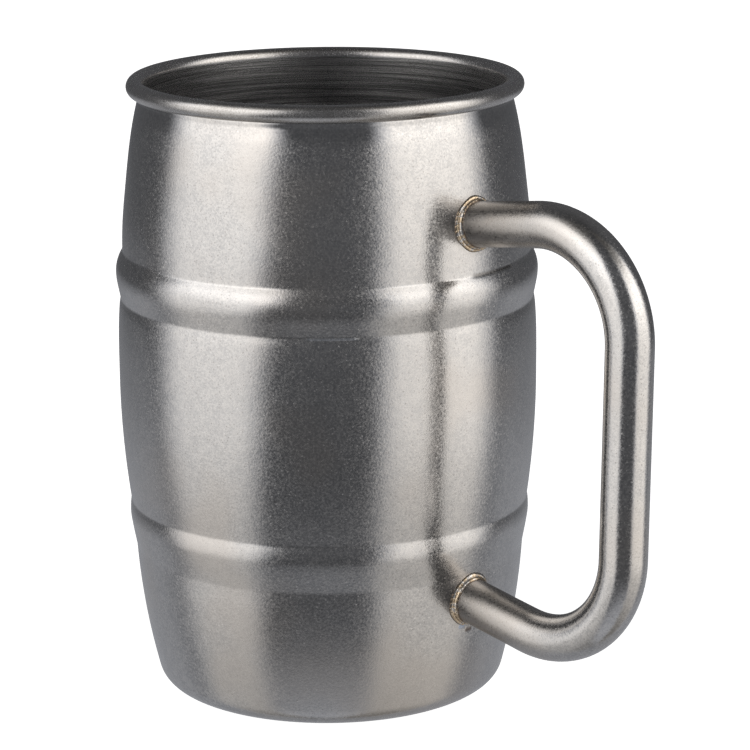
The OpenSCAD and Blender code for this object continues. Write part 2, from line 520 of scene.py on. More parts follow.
@dataclass(frozen=True)
class BrushedSteel:
    """Steel brushed round the mug's axis inside the cup, and tumbled on its lip."""

    light: Colour = (0.98, 0.97, 0.96)
    dark: Colour = (0.34, 0.34, 0.345)
    roughness: float = 0.22
    lines: Layer = Layer(0.20, tone=3.2, dulling=0.16, depth=0.012, detail=3.0, rough=0.7)
    bands: Layer = Layer(1.4, tone=1.6)
    line_stretch: float = 0.009
    lip_light: Colour = (0.62, 0.60, 0.58)
    lip_dark: Colour = (0.40, 0.38, 0.36)
    lip_roughness: float = 0.24
    speckle: Layer = Layer(0.30, tone=2.4, dulling=0.2, depth=0.012, detail=1.0, rough=0.6)
    clouds: Layer = Layer(9.0, tone=1.2, detail=3.0)

    def material(self, name: str) -> bpy.types.Material:
        """Makes the material.

        Args:
            name: the material's name.

        Returns:
            The material; its mesh carries "inside", 1 where it is brushed and 0 on the lip.
        """
        made = bpy.data.materials.new(name)
        shader = Shader(made)
        at = shader.position_mm()
        x, y, z = shader.split(at)
        inside = shader.attribute("inside")
        outside = 1.0 - inside

        long_at = shader.join(x * self.line_stretch, y * self.line_stretch, z)
        lines = shader.noise(long_at, self.lines)
        bands = shader.noise(long_at, self.bands)
        speckle = shader.noise(at, self.speckle)
        clouds = shader.noise(at, self.clouds)

        drawn = (lines - 0.5) * self.lines.tone + (bands - 0.5) * self.bands.tone
        cup = shader.mix(self.dark, self.light, (drawn + 0.5).clamped())
        tumbled = (speckle - 0.5) * self.speckle.tone + (clouds - 0.5) * self.clouds.tone
        lip = shader.mix(self.lip_dark, self.lip_light, (tumbled + 0.5).clamped())
        base = shader.mix(lip, cup, inside)

        cup_rough = self.roughness + (lines - 0.5) * self.lines.dulling
        lip_rough = self.lip_roughness + (speckle - 0.5) * self.speckle.dulling
        rough = cup_rough * inside + lip_rough * outside
        normal = shader.bump(lines * inside, self.lines.depth)
        normal = shader.bump(speckle * outside, self.speckle.depth, normal)
        shader.metal(base, rough, normal)
        return made


@dataclass(frozen=True)
class WeldedSteel:
    """A weld bead with straw, brown and blue heat colours.

    Each span is where a colour sets in and where it is full: over its patches for silver
    and blue, and over the distance from the bead's middle, where the whole bead is 1 wide,
    for the brown in its groove and along its toes.
    """

    straw: Colour = (0.80, 0.64, 0.45)
    silver: Colour = (0.82, 0.79, 0.75)
    brown: Colour = (0.14, 0.10, 0.075)
    blue: Colour = (0.40, 0.46, 0.54)
    roughness: float = 0.24
    fine: Layer = Layer(0.35, tone=0.7, dulling=0.2, depth=0.02, rough=0.6)
    silver_patches: Layer = Layer(1.1)
    silver_span: Span = (0.50, 0.62)
    blue_patches: Layer = Layer(2.6)
    blue_span: Span = (0.62, 0.72)
    blue_strength: float = 0.5
    groove_span: Span = (0.02, 0.16)
    groove_strength: float = 0.55
    toe_span: Span = (0.26, 0.44)
    brown_strength: float = 0.92

    def material(self, name: str) -> bpy.types.Material:
        """Makes the material.

        Args:
            name: the material's name.

        Returns:
            The material; its meshes may carry "across", from one toe at 0 to the other at 1.
        """
        made = bpy.data.materials.new(name)
        shader = Shader(made)
        at = shader.position_mm()
        off_middle = abs(shader.attribute("across") - 0.5)
        fine = shader.noise(at, self.fine)
        silvery = shader.noise(at, self.silver_patches).rise(*self.silver_span)
        bluish = shader.noise(at, self.blue_patches).rise(*self.blue_span)

        groove = 1.0 - off_middle.rise(*self.groove_span)
        burnt = (off_middle.rise(*self.toe_span) + groove * self.groove_strength).clamped()
        burnt = (burnt * self.brown_strength + (fine - 0.5) * self.fine.tone).clamped()
        base = shader.mix(self.straw, self.silver, silvery)
        base = shader.mix(base, self.brown, burnt)
        base = shader.mix(base, self.blue, bluish * self.blue_strength)
        rough = self.roughness + (fine - 0.5) * self.fine.dulling
        shader.metal(base, rough, shader.bump(fine, self.fine.depth))
        return made


# ---------------------------------------------------------------- outlines and meshes


class Outline:
    """A run of (radius, height) points in millimetres, made of arcs and straight lines."""

    def __init__(self, start: Point) -> None:
        """Starts the outline at a point."""
        self.points: List[np.ndarray] = [np.array(start, float)]

    def line_to(self, end: Point) -> "Outline":
        """Adds a straight line to a point."""
        self.points.append(np.array(end, float))
        return self

    def curve_to(self, end: Point, leave: float, arrive: float, steps: int = 24) -> "Outline":
        """Adds a smooth curve that goes down to a point.

        Args:
            end: the curve's last point.
            leave: the wall's lean at the start, in degrees outwards going down.
            arrive: its lean at the end.
            steps: how many points it gets.

        Returns:
            The outline.
        """
        start, stop = self.points[-1], np.array(end, float)
        reach = np.linalg.norm(stop - start) / 3
        leans = [math.radians(leave), math.radians(arrive)]
        first, last = ([math.sin(a) * reach, -math.cos(a) * reach] for a in leans)
        a, b = start + first, stop - last
        for i in range(1, steps + 1):
            t = i / steps
            w = ((1 - t) ** 3, 3 * t * (1 - t) ** 2, 3 * t**2 * (1 - t), t**3)
            self.points.append(w[0] * start + w[1] * a + w[2] * b + w[3] * stop)
        return self

    def turn_about(
        self, centre: Sequence[float], first: float, last: float, steps: int = 24, radius: float = 0.0
    ) -> "Outline":
        """Adds an arc about a centre.

        Args:
            centre: the arc's centre.
            first: the angle where it starts, in radians.
            last: the angle where it ends, in radians.
            steps: how many points it gets.
            radius: its radius, or 0 for the distance to the last point.

        Returns:
            The outline.
        """
        centre = np.array(centre, float)
        reach = radius or float(np.linalg.norm(self.points[-1] - centre))
        for i in range(1, steps + 1):
            a = first + (last - first) * i / steps
            self.points.append(centre + reach * np.array([math.cos(a), math.sin(a)]))
        return self

    def softened(self, spread: float, step: float = 0.15, slack: float = 0.004) -> np.ndarray:
        """The outline with its creases rounded.

        Args:
            spread: how far along the outline each point is averaged, as a standard deviation.
            step: the spacing at which the outline is read.
            slack: how far the result may stray from the smoothed curve.

        Returns:
            An array of points, close together only where the curve bends.
        """
        raw = np.array(self.points)
        along = np.r_[0.0, np.cumsum(np.linalg.norm(np.diff(raw, axis=0), axis=1))]
        count = max(int(along[-1] / step), 8)
        at = np.linspace(0.0, along[-1], count)
        even = np.stack([np.interp(at, along, raw[:, k]) for k in (0, 1)], axis=1)
        reach = max(int(3 * spread / step), 1)
        weights = np.exp(-0.5 * (np.arange(-reach, reach + 1) * step / spread) ** 2)
        weights /= weights.sum()
        before = 2 * even[0] - even[reach:0:-1]
        after = 2 * even[-1] - even[-2 : -reach - 2 : -1]
        padded = np.concatenate([before, even, after])
        smooth = np.stack([np.convolve(padded[:, k], weights, "valid") for k in (0, 1)], axis=1)
        return thinned(smooth, slack)


def heading(v: Sequence[float]) -> float:
    """The angle of a flat vector, in radians."""
    return math.atan2(v[1], v[0])


def thinned(points: np.ndarray, slack: float, longest: float = 4.0) -> np.ndarray:
    """Drops the points that a straight line between their neighbours can stand for.

    Args:
        points: the points of a curve.
        slack: how far the curve may stray from the result.
        longest: the length past which a straight run is cut in two.

    Returns:
        The points that are kept, the first and last among them.
    """
    keep = {0, len(points) - 1}
    spans = [(0, len(points) - 1)]
    while spans:
        first, last = spans.pop()
        if last - first < 2:
            continue
        a, b = points[first], points[last]
        chord = b - a
        length = np.linalg.norm(chord) or 1e-9
        inner = points[first + 1 : last] - a
        off = np.abs(inner[:, 0] * chord[1] - inner[:, 1] * chord[0]) / length
        worst = int(off.argmax())
        if off[worst] > slack or length > longest:
            middle = first + 1 + worst if off[worst] > slack else (first + last) // 2
            keep.add(middle)
            spans += [(first, middle), (middle, last)]
    return points[sorted(keep)]


def new_piece(name: str, points: np.ndarray, faces: List[Tuple[int, ...]]) -> bpy.types.Object:
    """Makes a smooth-shaded mesh object.

    Args:
        name: the object's name.
        points: its vertices, in millimetres.
        faces: the vertex numbers of each face.

    Returns:
        The object, linked to the scene.
    """
    mesh = bpy.data.meshes.new(name)
    mesh.from_pydata((np.asarray(points) * MM).tolist(), [], faces)
    mesh.validate()
    mesh.shade_smooth()
    made = bpy.data.objects.new(name, mesh)
    bpy.context.scene.collection.objects.link(made)
    return made


def grid_faces(rows: int, columns: int, close_rows: bool) -> List[Tuple[int, ...]]:
    """The faces of a grid of points whose columns close up.

    Args:
        rows: how many rows the grid has.
        columns: how many points each row has.
        close_rows: whether the last row joins the first.

    Returns:
        One four-sided face for each cell.
    """
    faces = []
    for i in range(rows if close_rows else rows - 1):
        j = (i + 1) % rows
        for k in range(columns):
            n = (k + 1) % columns
            faces.append((i * columns + k, j * columns + k, j * columns + n, i * columns + n))
    return faces


def lathe(name: str, outline: np.ndarray, sides: int = 256, closed: bool = True) -> bpy.types.Object:
    """Turns an outline about the mug's axis.

    Args:
        name: the object's name.
        outline: (radius, height) points; a point at radius 0 becomes a single vertex.
        sides: how many steps the turn has.
        closed: whether the outline's last point joins its first.

    Returns:
        The object.
    """
    angles = np.arange(sides) * TURN / sides
    ring = np.stack([np.cos(angles), np.sin(angles)], axis=1)
    points: List[np.ndarray] = []
    rows: List[List[int]] = []
    for radius, height in outline:
        first = len(points)
        if radius < 1e-6:
            points.append(np.array([0.0, 0.0, height]))
            rows.append([first] * sides)
            continue
        for c, s in ring:
            points.append(np.array([radius * c, radius * s, height]))
        rows.append(list(range(first, first + sides)))
    faces = []
    for i in range(len(rows) if closed else len(rows) - 1):
        a, b = rows[i], rows[(i + 1) % len(rows)]
        for k in range(sides):
            n = (k + 1) % sides
            loop = [a[k], b[k], b[n], a[n]]
            corners = tuple(dict.fromkeys(loop))
            if len(corners) > 2:
                faces.append(corners)
    return new_piece(name, np.array(points), faces)


def store(piece: bpy.types.Object, name: str, values: Sequence[float]) -> None:
    """Stores a number on each vertex.

    Args:
        piece: the mesh object.
        name: the attribute's name.
        values: the numbers, in the order of the vertices.
    """
    layer = piece.data.attributes.new(name, "FLOAT", "POINT")
    layer.data.foreach_set("value", values)


class Slot(Enum):
    """Names for the mug's material slots."""

    BARREL = "barrel_steel"
    CUP = "cup_steel"
    BASE = "base_steel"
    HANDLE = "handle_steel"
    WELD = "weld_bead"
    SEAM = "seam_weld"


def dress(piece: bpy.types.Object, slot: Slot, material: bpy.types.Material, *nodes: str) -> None:
    """Gives a new piece its material and body, and hides the CAD nodes that it stands for.

    Args:
        piece: the mesh object.
        slot: not used.
        material: its material.
        nodes: the CAD nodes that it stands for.
    """
    piece.data.materials.clear()
    piece.data.materials.append(material)
    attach(piece, ROOT)
    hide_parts(*nodes)
    LOG.info("%s: %d faces for %s", piece.name, len(piece.data.polygons), ", ".join(nodes))


# ---------------------------------------------------------------- the mug's pieces


@dataclass(frozen=True)
class Knot:
    """A point of the barrel's outline and the wall's lean on the way in and out of it.

    The radius is given as its distance outside the rim; a lean is in degrees, outwards
    going down.
    """

    out: float
    z: float
    above: float
    below: float


@dataclass
class Barrel:
    """The spun outer wall with its two pressed hoops and its rounded foot."""

    rim_radius: float
    height: float
    lip: float = 3.8
    neck_radius: float = 40.15
    sheet: float = 0.6
    lower_arc: float = 150.0
    knots: Tuple[Knot, ...] = (
        Knot(-2.35, 129.1, 0.0, 15.0),
        Knot(-1.70, 126.4, 12.5, 12.5),
        Knot(0.50, 111.6, 6.2, 6.2),
        Knot(1.53, 99.8, 1.4, 1.4),
        Knot(1.58, 96.7, -1.0, 35.0),
        Knot(3.05, 92.4, 0.0, 0.0),
        Knot(2.86, 90.2, -10.0, -10.0),
        Knot(2.15, 86.6, -11.5, 14.0),
        Knot(2.50, 84.2, 4.5, 4.5),
        Knot(2.80, 69.0, 0.0, 0.0),
        Knot(0.88, 41.8, -8.0, 12.0),
        Knot(1.14, 38.9, 0.0, 0.0),
        Knot(0.98, 37.2, -9.5, -9.5),
        Knot(-0.08, 31.5, -11.5, -1.5),
    )
    foot_inset: float = 9.4
    foot_fillet: float = 5.1
    land: float = 2.6
    collar_bend: float = 1.4
    collar_height: float = 5.0
    crease: float = 0.28
    foot_margin: float = 1.0

    def __post_init__(self) -> None:
        """Works out the outline's fixed points and its skin."""
        self.lip_z = self.height - self.lip / 2
        self.lower_bottom = self._place(self.knots[-1])
        self.foot_radius = self.rim_radius - self.foot_inset
        self.collar_radius = self.foot_radius - self.land - self.collar_bend
        self.skin = self.outline(0.0).softened(self.crease)

    def _place(self, knot: Knot, depth: float = 0.0) -> Point:
        """A knot as (radius, height), moved towards the axis by a depth."""
        return self.rim_radius + knot.out - depth, knot.z

    def _lower_centre(self) -> np.ndarray:
        """The centre of the arc from the lower hoop that runs smoothly into the foot's fillet."""
        start = np.array(self.lower_bottom)
        gap_vector = np.array([self.foot_radius, self.foot_fillet]) - start
        gap = float(np.linalg.norm(gap_vector))
        inner = self.lower_arc - self.foot_fillet
        along = (self.lower_arc**2 - inner**2 + gap**2) / (2 * gap)
        unit = gap_vector / gap
        side = math.sqrt(self.lower_arc**2 - along**2)
        return start + along * unit + side * np.array([unit[1], -unit[0]])

    def outline(self, depth: float) -> Outline:
        """The wall's outline from its top edge to its collar.

        Args:
            depth: how far inside the skin the outline lies.

        Returns:
            The outline.
        """
        run = Outline((self.neck_radius - depth, self.lip_z))
        run.line_to(self._place(self.knots[0], depth))
        for knot, following in zip(self.knots[:-1], self.knots[1:]):
            run.curve_to(self._place(following, depth), knot.below, following.above)
        centre = self._lower_centre()
        foot = np.array([self.foot_radius, self.foot_fillet])
        first = heading(np.array(self.lower_bottom) - centre)
        last = heading(foot - centre)
        run.turn_about(centre, first, last, radius=self.lower_arc - depth)
        run.turn_about(foot, last, -math.pi / 2, radius=self.foot_fillet - depth)
        bend = (self.collar_radius + self.collar_bend, self.collar_bend)
        run.turn_about(bend, -math.pi / 2, -math.pi, radius=self.collar_bend - depth)
        return run.line_to((self.collar_radius + depth, self.collar_height))

    def radius_at(self, z: float) -> float:
        """The skin's radius at a height above the foot's fillet."""
        side = self.skin[self.skin[:, 0] > self.foot_radius + self.foot_margin]
        return float(np.interp(z, side[::-1, 1], side[::-1, 0]))

    def build(self, finish: TumbledSteel) -> bpy.types.Object:
        """Makes the wall as one closed sheet and dresses it."""
        inner = self.outline(self.sheet).softened(self.crease, slack=0.02)
        piece = lathe("barrel", np.concatenate([self.skin, inner[::-1]]))
        dress(piece, Slot.BARREL, finish.material("tumbled_barrel"), "outer_shell")
        return piece


@dataclass
class InnerCup:
    """The drawn cup whose lip curls outwards over the barrel's edge."""

    rim_radius: float
    height: float
    floor_z: float
    lip: float = 3.8
    sheet: float = 0.5
    corner: float = 12.0
    curl_end: float = math.radians(-95)
    dish: float = 0.8
    dish_inner: float = 0.62
    dish_outer: float = 0.80
    brushed_above: float = 0.2
    brushed_behind: float = 0.3

    def build(self, finish: BrushedSteel) -> bpy.types.Object:
        """Makes the cup as one closed sheet and dresses it."""
        lip_r = self.lip / 2
        centre = (self.rim_radius - lip_r, self.height - lip_r)
        bore = self.rim_radius - self.lip
        corner_z = self.floor_z + self.corner
        corner_r = bore + self.sheet - self.corner

        outer = Outline((0.0, self.floor_z)).line_to((corner_r, self.floor_z))
        outer.turn_about((corner_r, corner_z), -math.pi / 2, 0.0, radius=self.corner)
        outer.line_to((bore + self.sheet, centre[1]))
        outer.turn_about(centre, math.pi, self.curl_end, 40, radius=lip_r - self.sheet)

        floor = self.floor_z + self.sheet
        inner = Outline((0.0, floor + self.dish))
        inner.line_to((corner_r * self.dish_inner, floor + self.dish))
        inner.line_to((corner_r * self.dish_outer, floor))
        inner.line_to((corner_r, floor))
        inner.turn_about((corner_r, corner_z), -math.pi / 2, 0.0, radius=self.corner - self.sheet)
        inner.line_to((bore, centre[1]))
        inner.turn_about(centre, math.pi, self.curl_end, 56, radius=lip_r)

        under = outer.softened(0.1, slack=0.01)
        skin = inner.softened(0.12, step=0.08)
        piece = lathe("cup", np.concatenate([under, skin[::-1]]), closed=False)
        top = centre[1] + self.brushed_above
        out = bore + self.brushed_behind
        places = [v.co / MM for v in piece.data.vertices]
        store(piece, "inside", [float(p.z < top and p.xy.length < out) for p in places])
        dress(piece, Slot.CUP, finish.material("brushed_cup"), "inner_cup")
        return piece


@dataclass
class BaseDisc:
    """The pressed disc that closes the barrel inside its collar."""

    radius: float
    skirt_z: float
    top_z: float
    sheet: float = 0.6
    bend: float = 1.2
    dish_radius: float = 19.0
    dish_depth: float = 0.7
    dish_slope: float = 1.5

    def _outline(self, lift: float) -> Outline:
        """The disc's outline from its skirt's edge to the axis.

        Args:
            lift: how far outside the disc's underside the outline lies.

        Returns:
            The outline.
        """
        run = Outline((self.radius - self.sheet + lift, self.skirt_z))
        middle = (self.radius - self.bend, self.top_z - self.bend)
        run.turn_about(middle, 0.0, math.pi / 2, 12, radius=self.bend - self.sheet + lift)
        level = self.top_z - self.sheet + lift
        run.line_to((self.dish_radius + self.dish_slope, level))
        run.line_to((self.dish_radius, level - self.dish_depth))
        return run.line_to((0.0, level - self.dish_depth))

    def build(self, finish: TumbledSteel) -> bpy.types.Object:
        """Makes the disc with a shallow pressed panel and dresses it."""
        under = self._outline(0.0).softened(0.2, slack=0.01)
        over = self._outline(self.sheet).softened(0.2, slack=0.01)
        under[-1, 0] = over[-1, 0] = 0.0
        piece = lathe("base", np.concatenate([under, over[::-1]]), sides=192)
        dress(piece, Slot.BASE, finish.material("tumbled_base"), "base_disc")
        return piece


@dataclass
class Handle:
    """The bent tube, welded to the barrel at both ends."""

    barrel: Barrel
    tube: float = 10.0
    wall: float = 0.8
    arm_narrowing: float = 0.42
    arm_end: float = 55.0
    arm_fade: float = 20.0
    reach: float = 43.0
    grip_lean: float = math.radians(1.3)
    bend: float = 21.6
    upper_depth: float = 26.6
    upper_rise: float = math.radians(7.4)
    lower_z: float = 25.8
    lower_fall: float = math.radians(10.4)
    upper_out: float = 1.6
    lower_out: float = -0.15
    upper_overrun: float = 2.0
    lower_overrun: float = 3.0
    bend_steps: int = 40
    sides: int = 72

    def __post_init__(self) -> None:
        """Works out the centreline, from the upper root to the lower root."""
        rim = self.barrel.rim_radius
        upper_z = self.barrel.height - self.upper_depth
        top_run = self.reach - self.upper_out
        corner_a = np.array([rim + self.reach, upper_z + top_run * math.tan(self.upper_rise)])
        fall = math.tan(self.lower_fall)
        both = math.tan(self.grip_lean) * fall
        foot_z = self.lower_z - (self.reach - self.lower_out) * fall
        foot_z = (foot_z + corner_a[1] * both) / (1 + both)
        lean = (corner_a[1] - foot_z) * math.tan(self.grip_lean)
        corner_b = np.array([corner_a[0] - lean, foot_z])
        headings = (self.upper_rise, -math.pi / 2 - self.grip_lean, -math.pi - self.lower_fall)
        self.headings = headings
        root_a = corner_a - self._along(headings[0]) * (corner_a[0] - rim + self.upper_overrun)
        root_b = corner_b + self._along(headings[2]) * (corner_b[0] - rim + self.lower_overrun)

        path = [root_a]
        for corner, (h_in, h_out) in ((corner_a, headings[:2]), (corner_b, headings[1:])):
            turn = h_in - h_out
            start = corner - self._along(h_in) * self.bend * math.tan(turn / 2)
            centre = start + self._along(h_in - math.pi / 2) * self.bend
            for i in range(self.bend_steps + 1):
                angle = h_in + math.pi / 2 - turn * i / self.bend_steps
                path.append(centre + self._along(angle) * self.bend)
        path.append(root_b)
        self.path = self._filled(np.array(path))
        self.roots = (self._root(self.path[0], headings[0]), self._root(self.path[-1], headings[2]))

    @staticmethod
    def _along(angle: float) -> np.ndarray:
        """The unit vector at an angle in the handle's plane."""
        return np.array([math.cos(angle), math.sin(angle)])

    @staticmethod
    def _filled(path: np.ndarray, step: float = 2.5) -> np.ndarray:
        """Adds points along a path's straight runs.

        Args:
            path: the path's points.
            step: about how far apart the new ones are.

        Returns:
            All the points, in order.
        """
        out = [path[0]]
        for a, b in zip(path[:-1], path[1:]):
            count = max(int(np.linalg.norm(b - a) / step), 1)
            out += [a + (b - a) * i / count for i in range(1, count + 1)]
        return np.array(out)

    def _root(self, point: np.ndarray, angle: float) -> np.ndarray:
        """Where a straight line in the handle's plane meets the barrel's skin.

        Args:
            point: a point of the line, as (distance from the axis, height).
            angle: the line's angle, in radians.

        Returns:
            The meeting point, as (distance from the axis, height).
        """
        direction = self._along(angle)
        place = point.copy()
        for _ in range(20):
            gap = self.barrel.radius_at(place[1]) - place[0]
            place = place + direction * gap / direction[0]
        return place

    def _girth(self, place: np.ndarray) -> float:
        """The tube's outer radius at a point of its path, a hair less on the arms."""
        arm = 1.0 - min(max((place[0] - self.arm_end) / self.arm_fade, 0.0), 1.0)
        return (self.tube - self.arm_narrowing * arm) / 2

    def _rings(self, inset: float) -> np.ndarray:
        """The tube's points.

        Args:
            inset: how far inside the tube's skin they lie.

        Returns:
            An array of rings of points, coped to the barrel at both ends.
        """
        tangents = np.gradient(self.path, axis=0)
        tangents /= np.linalg.norm(tangents, axis=1)[:, None]
        angles = np.arange(self.sides) * TURN / self.sides
        rings = np.zeros((len(self.path), self.sides, 3))
        for i, (place, along) in enumerate(zip(self.path, tangents)):
            across = np.array([-along[1], along[0]])
            radius = self._girth(place) - inset
            flat = place + radius * np.outer(np.cos(angles), across)
            rings[i] = np.stack([flat[:, 0], radius * np.sin(angles), flat[:, 1]], axis=1)
        for end in (0, -1):
            direction = tangents[end]
            for k in range(self.sides):
                rings[end, k] = self.coped(rings[end, k], direction)
        return rings

    def coped(self, point: np.ndarray, direction: np.ndarray, sink: float = 0.1) -> np.ndarray:
        """Slides a point along an arm until it lies just under the barrel's skin.

        Args:
            point: the point.
            direction: the arm's direction, as (away from the axis, up).
            sink: how far under the skin it ends.

        Returns:
            The point's new place.
        """
        move = np.array([direction[0], 0.0, direction[1]])
        place = point.copy()
        for _ in range(30):
            wanted = self.barrel.radius_at(place[2]) - sink
            gap = wanted - math.hypot(place[0], place[1])
            place = place + move * gap / move[0]
        return place

    def build(self, finish: TumbledSteel) -> bpy.types.Object:
        """Makes the hollow tube and dresses it."""
        skin, bore = self._rings(0.0), self._rings(self.wall)
        rows = np.concatenate([skin, bore[::-1]])
        faces = grid_faces(len(rows), self.sides, close_rows=True)
        piece = new_piece("handle", rows.reshape(-1, 3), faces)
        dress(piece, Slot.HANDLE, finish.material("tumbled_handle"), "handle_tube")
        return piece


@dataclass
class HandleWeld:
    """One rippled fillet weld where an arm meets the barrel.

    Each wobble of the bead's leg is its share of the leg, how many times it comes round the
    arm, and where it starts. Groove and ripples are seen across the bead, from its toe on
    the barrel at 0 to its top on the arm at 1.
    """

    handle: Handle
    end: int
    leg: float = 1.12
    crown: float = 0.66
    wobbles: Tuple[Tuple[float, int, float], ...] = ((0.10, 3, 0.7), (0.06, 7, 2.1))
    ripples: int = 34
    ripple_height: float = 0.13
    ripple_bow: float = 0.9
    ripple_sharpness: float = 0.6
    groove: float = 0.24
    groove_at: float = 0.52
    groove_width: float = 0.13
    sink: float = 0.05
    root_along: float = 0.4
    root_inside: float = 0.3
    toe_depth: float = 0.5
    start: float = 3.0
    around: int = 552
    across: int = 18

    def _swell(self, t: float, u: float) -> float:
        """How far the bead's skin stands off its plain curve.

        Args:
            t: the angle round the arm.
            u: the place across the bead.

        Returns:
            The distance, negative in the groove.
        """
        phase = self.ripples * t / TURN + self.ripple_bow * (u - 0.5) ** 2
        saw = phase - math.floor(phase)
        scale = math.sin(math.pi * u) ** 0.5
        ripple = self.ripple_height * (saw**self.ripple_sharpness - 0.5) * scale
        off_groove = (u - self.groove_at) / self.groove_width
        return ripple - self.groove * math.exp(-(off_groove**2))

    def build(self, name: str, node: str, material: bpy.types.Material) -> bpy.types.Object:
        """Makes the bead along the arm's junction with the barrel and dresses it.

        Args:
            name: the piece's name.
            node: the CAD node that it stands for.
            material: the bead's material.

        Returns:
            The object.
        """
        handle = self.handle
        angle = handle.headings[0] if self.end == 0 else handle.headings[2] + math.pi
        out = np.array([math.cos(angle), 0.0, math.sin(angle)])
        up = np.array([-out[2], 0.0, out[0]])
        side = np.array([0.0, 1.0, 0.0])
        along = np.array([out[0], out[2]])
        root = handle.roots[self.end]
        middle = np.array([root[0], 0.0, root[1]]) + out * self.start
        radius = (handle.tube - handle.arm_narrowing) / 2

        points, marks = [], []
        for i in range(self.around):
            t = TURN * i / self.around
            spread = up * math.cos(t) + side * math.sin(t)
            wobble = sum(share * math.sin(times * t + at) for share, times, at in self.wobbles)
            leg = self.leg * (1.0 + wobble)
            corner = handle.coped(middle + spread * radius, along, 0.0)
            toe = handle.coped(middle + spread * (radius + leg), along, self.sink)
            top = corner + out * leg - spread * self.sink
            knee = corner + (toe - corner + top - corner) * self.crown
            outward = (knee - corner) / np.linalg.norm(knee - corner)
            for j in range(self.across + 1):
                u = j / self.across
                plain = (1 - u) ** 2 * toe + 2 * u * (1 - u) * knee + u**2 * top
                points.append(plain + outward * self._swell(t, u))
                marks.append(u)
            points.append(corner - out * self.root_along - spread * self.root_inside)
            points.append(toe - out * self.toe_depth)
            marks += [1.0, 1.0]
        faces = grid_faces(self.around, self.across + 3, close_rows=True)
        piece = new_piece(name, np.array(points), faces)
        store(piece, "across", marks)
        dress(piece, Slot.WELD, material, node)
        return piece


@dataclass
class BaseSeam:
    """The rippled fillet weld between the collar and the base disc's skirt.

    Its belly is how far its rounded side stands from the corner, along one leg and along
    the other, and its ripple how much each ripple takes away, all as shares of the leg.
    """

    radius: float
    skirt_z: float
    leg: float = 0.6
    belly: Point = (0.62, 0.30)
    ripples: int = 180
    ripple: float = 0.12
    around: int = 1080

    def build(self, material: bpy.types.Material) -> bpy.types.Object:
        """Makes the bead and dresses it.

        Args:
            material: the bead's material.

        Returns:
            The object.
        """
        far, close = self.belly
        section = ((0.0, 0.0), (1.0, 0.0), (far, close), (close, far), (0.0, 1.0))
        points, marks = [], []
        for i in range(self.around):
            t = TURN * i / self.around
            phase = self.ripples * t / TURN
            leg = self.leg * (1.0 - self.ripple * (1.0 - phase + math.floor(phase)))
            for j, (inwards, down) in enumerate(section):
                radius = self.radius - leg * inwards
                z = self.skirt_z - leg * down
                points.append((radius * math.cos(t), radius * math.sin(t), z))
                marks.append(min(max((j - 1) / 3, 0.0), 1.0))
        faces = grid_faces(self.around, len(section), close_rows=True)
        piece = new_piece("base_seam", np.array(points), faces)
        store(piece, "across", marks)
        dress(piece, Slot.SEAM, material, "base_seam_weld")
        return piece


# ---------------------------------------------------------------- the studio


@dataclass(frozen=True)
class SoftBox:
    """A tall soft light beside the camera, as the angles at which the mug sees it.

    Near and far are its edges, in degrees from the camera's direction and positive to the
    camera's right; the lean is how many degrees the near edge moves for each degree of
    height, and each softness is half the width over which an edge fades.
    """

    near: float
    far: float
    lean: float
    level: float
    far_level: float
    near_soft: float = 9.0
    far_soft: float = 12.0


